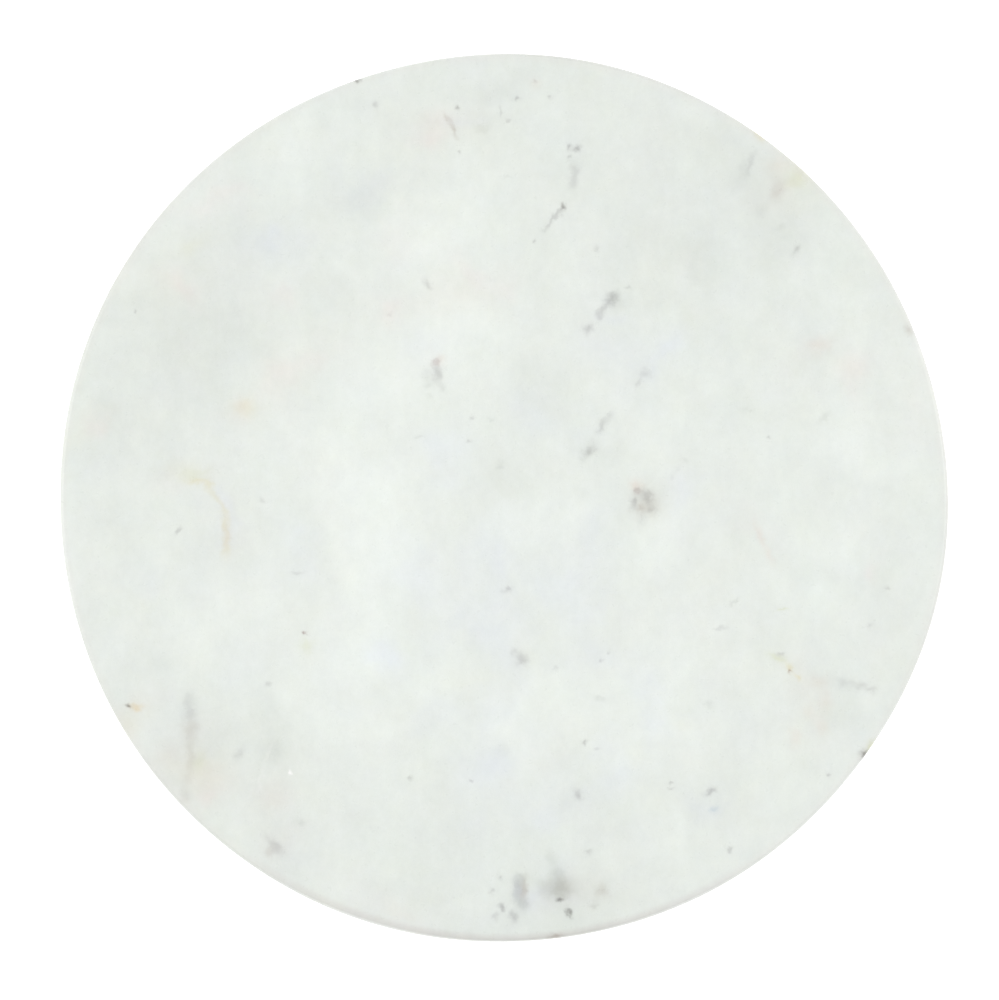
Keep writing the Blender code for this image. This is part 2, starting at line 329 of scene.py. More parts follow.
# Painted light on the lip: shade behind, then a highlight in front.
LIP_SHADE = (-6, -7.5, -7)
LIP_PAINTED_HIGHLIGHT = (9, 8, 9)

# The stone's features. Each is a soft ellipse: the x and y of its middle and its half
# width and half height, all in percent of the slab's radius. Then come its strength, as a multiple of
# its colour, and its turn in degrees where it doesn't lie square. Clouds and soft casts come first.
CLOUDS = {
    LIGHT: [
        (-22, 0, 55, 80, 2), (45, 62, 50, 40, -1.9, -35), (-80, 30, 32, 50, -1.4), (0, -92, 90, 26, -1.6),
        (-65, -62, 30, 28, -1.4), (0, 97, 90, 20, -1.4), (95, -10, 22, 60, -1.2),
        (-6, 38, 20, 13, 5.4, -30), (-18, 28, 18, 16, 4.7), (-33, 10, 20, 20, 4.7),
        (-28, -3, 18, 14, 4.7), (-32, -15, 17, 15, 7), (-33, -32, 18, 16, 5.4), (-37, -50, 20, 16, 4.7),
        (-10, 62, 14, 12, 3.9), (-20, 57, 14, 12, 3.9), (-46, 78, 8, 17, 3.9, -30),
        (-68, -30, 13, 12, 4.7), (-58, -27, 12, 12, 3.9), (-17, -38, 14, 12, 3.1), (5, -47, 18, 14, 4.7),
        (27, -52, 20, 15, 4.7), (42, -36, 18, 16, 4.7), (38, -10, 16, 15, 3.9), (10, -5, 15, 12, 3.1),
        (31, 15, 15, 12, 3.9), (42, -73, 15, 10, 3.1), (76, 20, 12, 12, 4.7), (83, 10, 12, 12, 3.9),
        (76, -10, 14, 13, 3.9), (70, -25, 13, 12, 3.9), (-72, 32, 26, 24, -6.2), (-60, 38, 12, 12, -3.1),
        (-90, 15, 12, 16, -3.1), (-70, 7, 14, 6, -3.1), (-62, -10, 10, 14, -2.3),
        (-56, 59, 22, 16, -4.7, 20), (-31, 70, 11, 10, -5.4), (-44, 44, 13, 11, -3.1),
        (-8, 84, 13, 12, -2.5), (0, 95, 16, 8, -3.9), (16, 75, 13, 13, -3.1), (40, 57, 20, 18, -4.7),
        (42, 55, 11, 10, -2.3), (36, 75, 12, 11, -3.1), (7, 24, 10, 9, -3.9), (-3, 7, 10, 9, -3.1),
        (22, 14, 7, 13, -3.1, -40), (56, 75, 12, 11, -4.7), (62, 69, 12, 11, -6.2),
        (65, 60, 12, 11, -3.1), (50, 85, 12, 9, -3.1), (70, 34, 12, 10, -3.9), (-70, -56, 12, 18, -3.8),
        (-84, -45, 10, 10, -3.9), (-55, -57, 17, 14, -4.7), (-52, -79, 13, 10, -3.9, -30),
        (-14, -78, 14, 12, -3.1), (10, -89, 16, 10, -5.3), (22, -90, 11, 10, -3.9),
        (17, -66, 10, 9, -3.1), (48, -69, 12, 10, -3.1), (74, -45, 13, 13, -3.9), (62, -35, 8, 8, -3.1),
        (-45, -15, 6, 16, -2.3), (-82, -33, 9, 10, -2.3), (-65, -69, 9, 5, -2, -35),
        (-53, -44, 6, 14, 3.6, 20), (2, -42, 8, 7, 2.2, 40), (-1, -52, 5, 5, -4.2), (-28, -41, 9, 10, -3),
        (-40, -33, 7, 7, -1.5), (-26, -6, 9, 11, -2), (14.5, -1, 5, 5, -3.6), (-14, -15, 7, 11, 1.5),
        (-3, -22, 8, 7, 1.5), (38, -15, 8, 12, 1.5), (42, -71, 4, 6, 4.5), (61, 69, 6, 7, 3, -25),
        (58, 55, 6, 6, 1.5), (39, 50, 5, 5, -4), (30, 44, 7, 5, -2.5), (52, 39, 10, 7, -1.5),
        (47, 57, 6, 7, 2), (40, 75, 5, 6, -2.5), (22, 85, 8, 6, -1.5), (46, 86, 8, 5, -3, -30),
        (-41, 87, 5, 7, 4.2), (-38, 65, 8, 7, 2), (-38, 49, 5, 5, 3.2), (-55, 67, 8, 6, 1.5),
        (-81, 46, 8, 5, 3.4), (-93, 25, 5, 13, -4), (-93, -20, 6, 9, -2.6), (-87, -33, 7, 7, -3.2),
        (-2, 90, 8, 4, 4), (8, 90, 6, 6, -1.5), (72, -19, 6, 5, -3.8), (62, -18, 7, 7, -1.2),
        (84, 6, 9, 5, -3), (76, 29, 8, 8, 1.5), (89, -38, 6, 8, -2.6), (80, -43, 5, 5, -2),
        (72, -50, 6, 8, 1.5), (63, -57, 6, 7, -1.5), (65, -37, 7, 7, 1.5), (30, -9, 5, 4, -2),
        (-83, 0, 7, 4, -2.2), (-69, -67, 6, 4, -3, -40), (18, 36, 5, 5, -2.2), (5, 18, 11, 7, -1.8),
        (-5, 9, 5, 6, -1.8), (38, 12, 6, 5, -2.2), (-48, 54, 4, 7, -2.2), (-24, 26, 5, 6, -2),
        (-28, 90, 6, 4, -2.2), (-6, -94, 9, 4, -2.2), (12, -96, 6, 3, -2.5), (-76, -42, 4, 5, 2.6),
        (-51, -50, 4, 5, 1.6), (-59, -8, 4, 10, 2.6, 10), (-3, 51, 9, 5, 2.2, -45),
        (14, -27, 11, 7, 1.8, 20), (43, -9, 7, 8, 1.8), (17, 78, 4, 7, 1.8), (-71, 58, 6, 5, 2),
    ],
    BLUE: [
        (-22, -14, 11, 12, 0.5), (-28, -31, 8, 7, 0.7), (-10, -26, 12, 8, 0.5), (0, -14, 12, 14, 0.5),
        (0, -36, 8, 12, 0.35), (17, -20, 12, 14, 0.5), (20, -36, 9, 6, 0.4), (23, -10, 6, 8, 0.3),
        (-4, -54, 10, 16, 0.5), (9, -69, 14, 9, 0.5), (-18, -47, 8, 8, 0.25), (25, -65, 10, 7, 0.4),
        (32, -44, 7, 11, 0.5), (47, -66, 6, 6, 0.5), (9, -87, 10, 8, 0.5), (-10, -73, 7, 6, 0.35),
        (-58, -41, 9, 8, 0.15), (-36, -41, 9, 8, 0.15), (-49, -12, 6, 14, 0.4, 15), (-12, 11, 5, 10, 0.5),
        (7, 19, 9, 7, 0.45), (18, 18, 6, 6, 0.3), (27, 31, 13, 8, 0.45, -25), (41, 2, 9, 9, 0.4),
        (-52, 58, 14, 11, 0.5), (-30, 72, 10, 7, 0.4), (-18, 31, 8, 8, 0.3), (-77, -14, 6, 6, 0.3),
        (-2, -27, 13, 14, 0.45), (-27, -30, 6, 6, 0.35), (-15, -16, 7, 7, 0.35), (-7, -61, 13, 10, 0.45),
        (11, -67, 8, 6, 0.3), (24, -61, 9, 7, 0.35, -40), (31, -52, 5, 5, 0.45), (14, -25, 9, 9, 0.3),
        (35, 29, 5, 5, 0.4), (42, 3, 6, 6, 0.3), (-63, -6, 3, 6, 0.6), (-48, -5, 5, 4, 0.4),
        (-53, 60, 5, 5, 0.5), (22, 41, 4, 4, 0.5), (36, 29, 3, 4, 0.5), (0, -57, 10, 6, 0.35),
        (18, -55, 5, 5, 0.4), (36, -40, 5, 4, 0.4), (3, -15, 5, 8, 0.35), (5, -87, 8, 4, 0.35),
        (-10, 84, 9, 4, 0.4), (-94, 13, 4, 8, 0.4),
    ],
    PINK: [
        (-14, 83, 10, 10, 0.5), (-12, 46, 24, 7, 0.4, 15), (-50, 26, 14, 7, 0.5, 35),
        (-50, 43, 8, 8, 0.3), (-70, 46, 10, 8, 0.4), (-65, 68, 8, 8, 0.3), (-25, 57, 8, 8, 0.3),
        (-69, 4, 10, 6, 0.4), (-62, -10, 4, 8, 0.2), (-83, -46, 8, 8, 0.5), (-70, -60, 8, 12, 0.4),
        (-52, -69, 9, 6, 0.35), (-52, -80, 10, 8, 0.4), (-27, -92, 10, 6, 0.4), (12, -88, 14, 6, 0.3),
        (66, -43, 6, 8, 0.4, 30), (87, -14, 4, 5, 0.9), (59, -10, 4, 8, 0.3, 15), (70, 34, 7, 4, 0.4),
        (78, 28, 6, 5, 0.5), (93, 22, 6, 10, 0.3), (61, 73, 8, 6, 0.5), (-27, 40, 6, 5, 0.9),
        (-8, 53, 9, 5, 0.8, -30), (3, 49, 6, 4, 0.6), (-49, 30, 7, 5, 0.7), (-58, 19, 6, 5, 0.8),
        (-41, 31, 6, 3, 0.5), (-68, 43, 4, 7, 0.9), (-65, 68, 8, 3, 0.5), (-50, 43, 3, 5, 0.5),
        (-94, 22, 4, 5, 0.9), (-16, 79, 5, 4, 0.6), (-67, -69, 6, 5, 0.8),
    ],
    YELLOW: [
        (-56, 20, 6, 5, 0.6), (-68, 7, 6, 4, 0.5), (-69, -62, 9, 10, 0.4), (65, 74, 11, 8, 0.6, -30),
        (-65, 57, 7, 6, 0.7), (-83, -47, 6, 6, 0.6), (-96, 20, 6, 12, 0.5), (64, -38, 6, 6, 0.15),
        (-45, -33, 6, 6, 0.4), (-15, 80, 20, 16, 0.25), (-70, 45, 20, 14, 0.25),
        (-14, 46, 24, 12, 0.25, 15), (-45, 30, 14, 12, 0.25), (72, -47, 10, 10, 0.1),
        (-50, -65, 12, 9, 0.15), (78, 30, 12, 8, 0.15), (38, 37, 6, 5, 0.35), (8, -33, 5, 7, 0.3, 15),
        (-17, -25, 5, 5, 0.35), (-8, -38, 14, 4, 0.3), (-36, -43, 12, 5, 0.25), (28, -58, 4, 4, 0.35),
        (37, -50, 3, 4, 0.3), (-82, -19, 4, 4, 0.3), (-65, 56, 4, 4, 0.35), (-28, -92, 6, 4, 0.3),
        (23, -25, 5, 5, 0.2),
    ],
}

# Specks, streaks, mottled clusters, mineral stains and one painted glint, each with its colour before its
# strength.
MARKS = [
    # The cluster right of the middle.
    (29.8, 3, 2.2, 1.8, ROSE, 1), (30, 1.6, 0.9, 0.9, RED, 0.24), (29.3, -0.4, 1, 1, GREY, 0.5),
    (32.2, -1.2, 4.2, 4.4, BROWN, 0.5), (31.6, 1, 1.8, 1.4, GREY, 0.6), (29, -1.4, 1.2, 2, GREY, 0.5),
    (32.6, -0.2, 1.2, 1.6, GREY, 0.45, 20), (30.8, -2, 1.2, 1.4, BROWN, 0.45),
    (33, -2.6, 1.2, 1.2, GREY, 0.55), (31.1, -4.7, 1.2, 2, MIST, 0.8), (40.4, 8.4, 1.2, 1, MIST, 0.8),
    (39, 6.6, 1, 1.4, MIST, 0.8, -30), (37.7, 4.8, 0.8, 1.2, MIST, 0.8),
    # The spot above it, with a diagonal streak.
    (19.2, 10.7, 1.6, 2.2, GREY, 0.85, -30), (17.6, 8.6, 1, 1, MIST, 0.9),
    (22.2, 16.3, 1.1, 2.8, GREY, 0.58, -40), (23.8, 18.8, 0.7, 1.4, GREY, 0.3, -50),
    # The cluster at the front.
    (12, -87, 5.2, 3.6, (-28, -29, -36), 0.7), (13.7, -87.6, 3.2, 2.6, GREY, 0.24),
    (12.2, -83.7, 2, 2.8, MIST, 1.4), (10.8, -80.6, 1.8, 2.6, MIST, 1, 30),
    (13, -89.8, 1.2, 0.8, DARK, 0.5), (14.6, -93, 0.8, 1.3, DARK, 0.52, 30),
    (3.1, -87.4, 1.6, 3.4, (-32, -33, -27), 0.7), (4.7, -87.3, 1.3, 3, BROWN, 0.75),
    (4.4, -90.5, 2.2, 2, MIST, 2.2), (4.2, -85, 2, 1.6, MIST, 1.2), (-0.7, -85.1, 0.8, 0.8, GREY, 0.6),
    (-2.5, -88, 1, 0.9, GREY, 0.5), (-0.2, -91.5, 1, 1, GREY, 0.95), (-1.7, -93.5, 1.1, 1.2, GREY, 0.5),
    (2.4, -93.8, 1.2, 1.6, GREY, 0.65), (22.1, -88, 2, 2.2, BROWN, 0.42),
    (20.5, -91.2, 1.2, 1.2, GREY, 0.4), (19, -79.1, 1, 0.8, GREY, 0.45),
    (11.9, -98.4, 2.2, 1, BROWN, 0.8),
    # Upper right of the middle.
    (24.5, 44.9, 1.9, 1.6, DARK, 0.28, 30), (23.3, 43.7, 1.2, 1.4, GREY, 0.6, -40),
    (22.2, 42.1, 1.2, 1.8, GREY, 0.6, -40), (21.4, 40.4, 1.2, 1.4, GREY, 0.5),
    (19, 37.7, 1.4, 1.4, GREY, 0.65), (27.9, 47, 0.8, 0.6, GREY, 0.4), (25.4, 43.6, 3.4, 2.6, MIST, 0.9),
    # Left of the top of the middle.
    (-14, 30.8, 2.2, 2, ROSE, 0.6), (-15, 30.4, 1.2, 1.2, RED, 0.2), (-14.7, 27.8, 1.4, 2.8, GREY, 0.75),
    (-17.3, 27.7, 1.6, 2.2, MIST, 1.2), (-16.8, 25.2, 1.4, 1.2, MIST, 1.2),
    (-13.5, 25, 1.2, 1, MIST, 1.2), (-16.5, 22.6, 1, 1, MIST, 1),
    # The diagonal streak and the specks over it.
    (13.4, 65.1, 1, 1, DARK, 0.5), (12.2, 63.7, 0.7, 2.2, GREY, 0.6, -40),
    (10.6, 62, 0.7, 2.4, GREY, 0.45, -40), (9.5, 60.8, 0.7, 1.4, GREY, 0.3, -40),
    (14.7, 79, 0.8, 1, GREY, 0.8), (16.5, 78.3, 1.1, 1.1, GREY, 1.1), (14.7, 76.7, 0.6, 0.8, GREY, 0.5),
    (16, 73.8, 1.4, 2, GREY, 0.36), (15.7, 71.8, 1.4, 2, GREY, 0.4), (15.4, 70, 1.1, 1.8, GREY, 0.28),
    (7, 57.5, 0.6, 0.6, GREY, 0.6), (20.8, 55.9, 0.8, 1, GREY, 0.4),
    # Below the middle.
    (4.1, -35.8, 2, 2.1, GREY, 0.65), (4.4, -36.8, 1.1, 1, DARK, 0.08), (2.4, -34.2, 1, 1, GREY, 0.3),
    (11.7, -37.8, 0.8, 0.7, GREY, 0.35), (1.1, -20.3, 0.9, 0.9, GREY, 0.65),
    (-0.3, -21, 0.8, 0.8, GREY, 0.3),
    # The amber hook on the left.
    (-69.4, 5.4, 4.4, 2.4, OLIVE, 0.5), (-68.4, 3.8, 3, 1.1, AMBER, 0.55),
    (-66, 2.8, 1.3, 1.8, AMBER, 0.55), (-64.5, 0.4, 1.1, 2.2, AMBER, 0.45, 40),
    (-62.8, -2.2, 1.1, 2.4, AMBER, 0.45, 20), (-62.1, -6, 1.2, 3.6, AMBER, 0.55),
    (-62, -10.8, 1.2, 4, AMBER, 0.42), (-61.8, -9, 1.2, 3, ROSE, 0.4),
    (-72.7, -7.3, 0.6, 1.1, GREY, 0.6, -35), (-58.2, 20.3, 3.4, 2.6, AMBER, 0.28),
    # The amber stain on the right.
    (61.6, -35.9, 2.6, 1, OLIVE, 0.65, -25), (61.9, -34.9, 1, 0.7, GREY, 0.5),
    (64, -38, 1.4, 1, AMBER, 0.75, -30), (64.2, -38.6, 0.6, 0.6, RED, 0.42),
    (65.7, -39.9, 1.2, 0.9, AMBER, 0.65, -30), (72.2, -45, 2.2, 3.6, ROSE, 0.5),
    (70.6, -41.2, 3.2, 1.8, ROSE, 0.5), (71.2, -51, 2, 3.4, ROSE, 0.5, 15),
    (65.2, -53.6, 2, 3, ROSE, 0.5), (68.6, -48.2, 2, 2, ROSE, 0.4),
    (76.5, -41.6, 3, 1.6, GREY, 0.35, -10), (80, -42, 2, 1.2, GREY, 0.4), (82.3, -43, 1.6, 1, GREY, 0.45),
    (82.3, -55.4, 1.2, 2.2, OLIVE, 0.9, -35), (81, -57.3, 1.4, 1.5, DARK, 0.6),
    # Near the edge, upper right.
    (61.6, 70, 2.4, 4, BROWN, 0.18), (61.2, 68.3, 1.6, 2.4, BROWN, 0.24, -35),
    (61.5, 74.5, 3.6, 2.4, ROSE, 0.45), (65.7, 71.4, 3, 2.8, OLIVE, 0.45),
    (54, 74, 2, 4.4, MIST, 0.8, -20), (57.6, 64.2, 2.4, 2.4, MIST, 0.8),
    (62.1, 60.3, 1.8, 0.8, MIST, 0.9, 20), (65.4, 55.2, 0.8, 2, MIST, 0.9, -30),
    (57.6, 81, 2.2, 1.2, AMBER, 0.5, -35),
    # Lower left.
    (-83.8, -46.5, 0.7, 0.6, DARK, 0.6), (-82.2, -46.6, 1.8, 1, AMBER, 0.6),
    (-82.2, -46.6, 2, 1.2, ROSE, 0.7), (-70.5, -45.5, 2, 2.6, GREY, 0.34), (-70, -48, 1.6, 2, GREY, 0.34),
    (-70, -51.5, 2.4, 3.6, BROWN, 0.38), (-70, -57, 1.4, 4.4, BROWN, 0.3),
    (-70.4, -62, 1.4, 4, BROWN, 0.16), (-71.2, -66.5, 1.4, 3, BROWN, 0.25, 20),
    (-68, -59, 2.2, 3.4, OLIVE, 0.34), (-63, -61.6, 8, 5, ROSE, 0.16), (-52, -67.5, 5.6, 4, ROSE, 0.35),
    (-51.5, -56.8, 3.4, 3.6, MIST, 1), (-59, -57, 1.4, 1.8, GREY, 0.4, -30),
    # The white fleck that starts the next line is a painted glint, the sparkle of a tiny chip.
    (-47.7, -61.6, 0.7, 0.8, WHITE_STREAK_AND_GLINT, 1.2), (-52.5, -57, 0.6, 3.4, WHITE_STREAK_AND_GLINT, 0.25, -20),
    (-54.3, -63.2, 0.6, 3.4, WHITE_STREAK_AND_GLINT, 0.25, -10), (-51.1, -78.1, 3.4, 1.4, GREY, 0.55, -40),
    (-52.5, -79.3, 1.6, 1.4, BROWN, 0.35), (-45, -72.5, 1.2, 1.2, MIST, 1.2),
    # Top.
    (-10.4, 87.6, 0.6, 0.6, DARK, 0.32), (-12.4, 85, 0.7, 2, BROWN, 0.45, 20),
    (-11.2, 82.4, 0.7, 2, BROWN, 0.6, 20), (-15.7, 84.8, 4.2, 3.6, ROSE, 0.32),
    (-15.7, 80, 4, 3, ROSE, 0.26), (3.2, 89.5, 0.6, 0.7, GREY, 0.7), (0.8, 84.6, 0.6, 0.7, GREY, 0.5),
    (-0.7, 86.6, 0.5, 1.8, GREY, 0.4), (-9.5, 77.3, 0.5, 0.6, GREY, 0.5),
    # Right.
    (70.7, 34.4, 3.6, 2, ROSE, 0.55), (79, 29, 4.4, 3.4, ROSE, 0.3),
    (71.7, 17.9, 0.8, 2.2, MIST, 1.2, -45), (59.4, 13.4, 0.6, 0.6, GREY, 0.6),
    (90.7, 37.9, 1.2, 1.6, BROWN, 0.5), (55, 19.5, 2, 0.8, MIST, 0.6), (57.5, -8.5, 1, 4, ROSE, 0.7, 20),
    (59.6, -13, 1, 2.4, ROSE, 0.6, 20),
    # Elsewhere.
    (31.6, 27.8, 1.6, 1.4, GREY, 0.4), (30.2, 26.2, 0.6, 1.4, GREY, 0.35, -20),
    (-16.8, 47.8, 0.8, 2, GREY, 0.5, 35), (-28.7, 88.1, 1.2, 1, GREY, 0.5),
    (-32.4, 93.6, 0.8, 0.7, DARK, 0.5), (7.2, 92.8, 1.8, 1.8, ROSE, 0.45),
    (7.1, 93.1, 0.6, 0.6, GREY, 0.4), (10.3, 89.6, 0.7, 0.8, GREY, 0.5),
    (-82.6, 41.5, 0.6, 0.6, GREY, 0.6), (-44.2, -30.3, 0.6, 0.6, RED, 0.55),
    (-44.2, -33, 1.8, 1.8, OLIVE, 0.4), (16.8, -66.2, 1.4, 1.7, GREY, 0.7),
    (18, -54.7, 0.8, 0.7, GREY, 0.8), (46.3, -65.6, 1.9, 0.9, GREY, 0.85, 25),
    (47.4, -69.7, 1.4, 1.4, (-26, -20, -12), 0.6), (-20.8, -62.4, 0.6, 0.6, GREY, 0.6),
    (-7.5, -63.2, 0.6, 0.6, GREY, 0.6), (37.7, -63.7, 0.6, 0.6, GREY, 0.6),
    (37.6, -65.3, 0.6, 0.5, GREY, 0.35), (50.6, -78.6, 0.8, 0.8, GREY, 0.6),
    (46.2, -46.2, 1.6, 1, MIST, 1.2), (48.7, -29.1, 1.8, 0.6, GREY, 0.4, 15),
    (51.5, -23.2, 0.6, 2.2, MIST, 1.3, -40), (62.2, -25, 1.8, 0.5, OLIVE, 0.6),
    (82.1, -28.5, 0.8, 0.8, GREY, 0.4), (85.9, -20.2, 1.1, 0.6, GREY, 0.5),
    (72.9, -61.6, 0.6, 0.6, GREY, 0.7), (55.3, 74.8, 0.9, 3.2, GREY, 0.32, -15),
    (65.6, 55.7, 0.9, 0.9, GREY, 0.4), (-53.7, -0.5, 1.2, 0.8, GREY, 0.35),
    (-46.2, -16.7, 1.8, 0.6, GREY, 0.4), (-65.5, -63.5, 5.5, 6, ROSE, 0.38),
    (-76, -58, 4, 4.5, ROSE, 0.25), (-52.7, -41.5, 1.2, 0.7, GREY, 0.45, 20), (-5, 82.6, 2, 1.2, MIST, 1),
    (0.8, 72, 1.6, 0.6, MIST, 1), (-6.9, 18.1, 0.8, 0.7, GREY, 0.5), (-7.6, 12.6, 0.9, 0.7, GREY, 0.5),
    (-3, 17.6, 0.8, 0.8, MIST, 1.2), (-0.7, 7.4, 1.2, 1.2, MIST, 1.3), (-18.6, 13.8, 1.2, 0.6, MIST, 1.2),
    (-25.4, 41.1, 0.8, 0.8, GREY, 0.3), (22.1, -36.3, 0.7, 0.6, GREY, 0.5),
    (23.4, -34.3, 0.6, 0.6, GREY, 0.4), (21.7, -45.1, 1.4, 0.8, MIST, 1.2),
    (20.9, -55.9, 0.9, 0.6, GREY, 0.35),
]

# How features are drawn out of shape: cloud edges wander widely, and marks only a little.
CLOUD_WANDER = 0.36
MARK_WANDER = 0.030
MARK_SPREAD = 1.2
MARK_GAIN = 1.3
MARK_DEPTH = 0.14  # how deep a mark goes, in shares of the slab's radius, where a cloud goes right through
MOTTLE_LEVELS = 32.0
FLECK_LEVELS = -1.6
COOL_DRIFT = 1.5  # how far the cast drifts between warm and cool, in shares of BLUE
ROSY_DRIFT = 0.9
BELL_EDGE = 0.06  # what is left of a mark's strength at its given width
LEAN = (-0.9, 0.5, 0.0)  # how features shift sideways as they go through the stone
LEVEL = 1 / 255
ALBEDO = 0.78  # the stone's own reflectance where its level would be full white


def ellipse(x, y, wide, tall, colour, strength, turn=0, spread=1.0, gain=1.0):
    """A feature from the lists above, in shares of the slab's radius."""
    return x / 100, y / 100, wide / 100 * spread, tall / 100 * spread, turn, colour, strength * gain


def blobs(shader, levels, where, shapes, depth):
    """Adds soft ellipses of colour to a colour kept in levels. All the nodes are vector maths, in the
    order they depend on each other, which keeps the shader's stack small."""
    across = shader.vector("CROSS_PRODUCT", where, (0, 0, 1))
    turned_places = {0: where}
    for x, y, wide, tall, turn, colour, strength in shapes:
        cos, sin = math.cos(math.radians(turn)), math.sin(math.radians(turn))
        if turn not in turned_places:
            kept = shader.vector("MULTIPLY", where, (cos, cos, 1))
            turned_places[turn] = shader.vector("MULTIPLY_ADD", across, (sin, sin, 0), kept)
        middle = ((x * cos + y * sin) / wide, (y * cos - x * sin) / tall)
        scale = (1 / wide, 1 / tall, 1 / depth)
        local = shader.vector("MULTIPLY_ADD", turned_places[turn], scale, (-middle[0], -middle[1], 0))
        square = shader.node("VectorMath", {0: local, 1: local}, out=1, operation="DOT_PRODUCT")
        bell = shader.math("POWER", BELL_EDGE, square)
        change = tuple(strength * c for c in colour)
        levels = shader.vector("ADD", levels, shader.scaled(change, bell))
    return levels


def marble():
    """Pale stone, solid right through: clouds, casts of colour, mottling and marks, with painted shade and
    highlights at the rim and one painted glint.
    """
    s = Shader("pale_marble")
    # Place in shares of the slab's radius, measured from the middle of its top. Features lean as they
    # go down through the stone.
    local = s.coordinates()
    place = s.node(
        "Mapping",
        {"Vector": local, "Location": (0, 0, SLAB_HIGH.z), "Scale": (SLAB_RADIUS,) * 3},
        vector_type="TEXTURE",
    )
    depth = s.split(place)[2]
    place = s.vector("ADD", place, s.scaled(LEAN, depth))

    drift = s.vector("SUBTRACT", s.noise(place, 3.2, 6.0, 0.55, out=1), (0.5, 0.5, 0.5))
    cloud_place = s.vector("ADD", place, s.scaled(drift, CLOUD_WANDER))
    ragged = s.vector("SUBTRACT", s.noise(place, 42.0, 3.0, 0.6, out=1), (0.5, 0.5, 0.5))
    mark_place = s.vector("ADD", place, s.scaled(ragged, MARK_WANDER))

    # Mottling, a little drawn out from front to back.
    grain = s.stretched(place, (1.0, 0.72, 1.0))
    mottle = s.math("SUBTRACT", s.noise(grain, 9.0, 8.0, 0.86), 0.5)
    fleck = s.noise(s.stretched(place, (70.0, 34.0, 60.0)), 1.0, 3.0, 0.7)
    fleck = s.ranged(fleck, 0.62, 0.80, 0.0, FLECK_LEVELS, smooth=True)
    levels = s.vector("ADD", GROUND, s.scaled(LIGHT, s.math("MULTIPLY", mottle, MOTTLE_LEVELS)))
    levels = s.vector("ADD", levels, s.scaled(LIGHT, fleck))
    first, second, _ = s.split(s.noise(place, 7.0, 5.0, 0.8, out=1))
    cool = s.math("MULTIPLY_ADD", first, COOL_DRIFT, -COOL_DRIFT / 2)
    levels = s.vector("ADD", levels, s.scaled(BLUE, cool))
    rosy = s.math("MULTIPLY_ADD", second, ROSY_DRIFT, -ROSY_DRIFT / 2)
    levels = s.vector("ADD", levels, s.scaled(PINK, rosy))

    for tone, rows in CLOUDS.items():
        clouds = [ellipse(*row[:4], tone, *row[4:]) for row in rows]
        levels = blobs(s, levels, cloud_place, clouds, 1.0)
    marks = [ellipse(*row, spread=MARK_SPREAD, gain=MARK_GAIN) for row in MARKS]
    levels = blobs(s, levels, mark_place, marks, MARK_DEPTH)

    # The ground edge is a little warmer. Painted shade darkens a line just inside the rim in front and the
    # lip behind, and a painted highlight brightens the lip in front.
    reach = s.length(s.vector("MULTIPLY", place, (1, 1, 0)))
    ahead = s.split(place)[1]
    edge = s.ranged(reach, 0.970, 0.987, smooth=True)
    lip = s.ranged(reach, 0.989, 0.9945, smooth=True)
    front = s.ranged(ahead, -0.76, -0.99, smooth=True)
    back = s.ranged(ahead, -0.50, -0.15, smooth=True)
    # The mask for the painted shade line: between the ground edge and the lip, at the front.
    line = s.math("MULTIPLY", s.math("SUBTRACT", edge, lip), front)
    levels = s.vector("ADD", levels, s.scaled(RIM_TONE, edge))
    # Painted shade: the dark line in front.
    levels = s.vector("ADD", levels, s.scaled(RIM_PAINTED_SHADE, line))
    # Painted shade on the lip behind, and a painted highlight on the lip in front.
    levels = s.vector("ADD", levels, s.scaled(LIP_SHADE, s.math("MULTIPLY", lip, back)))
    levels = s.vector("ADD", levels, s.scaled(LIP_PAINTED_HIGHLIGHT, s.math("MULTIPLY", lip, front)))

    colour = s.vector("MULTIPLY", levels, (LEVEL,) * 3)
    colour = s.vector("MAXIMUM", colour, (0.05, 0.05, 0.05))
    colour = s.node("Gamma", {"Color": colour, "Gamma": 2.25})
    colour = s.mixed(1.0 - ALBEDO, colour, (0, 0, 0, 1))
    s.set(Base_Color=colour)

    # The top is polished and the underside only sawn.
    sawn = s.ranged(depth, -0.070, -0.078, smooth=True)
    waves = s.noise(s.stretched(place, (6.0, 160.0, 6.0)), 1.0, 2.0, 0.5)
    pits = s.noise(place, 210.0, 2.0, 0.5)
    pits = s.ranged(pits, 0.30, 0.42, smooth=True)
    rough = s.ranged(s.noise(place, 60.0, 4.0, 0.6), 0.3, 0.7, 0.26, 0.36)
    s.set(Roughness=s.math("MULTIPLY_ADD", sawn, 0.3, rough))
    height = s.math("MULTIPLY_ADD", s.math("MULTIPLY", waves, sawn), 2.0, pits)
    s.set(Normal=s.bump(height, 0.02 * MM, 0.6))
    s.bsdf.inputs["IOR"].default_value = 1.5
    return s.material


def slab_outline(angle):
    """Where the hand-ground edge is at an angle, measured outward from a true circle."""
    wave = 0.30 * math.cos(4 * (angle - math.radians(62)))
    wave += 0.22 * math.cos(5 * (angle - math.radians(72)))
    wave += 0.16 * math.cos(3 * (angle + math.radians(8)))
    wave += 0.14 * math.cos(7 * (angle + math.radians(10)))
    wave += 0.12 * math.cos(8 * angle + 2.0)
    return wave * MM - OUTLINE_INSET


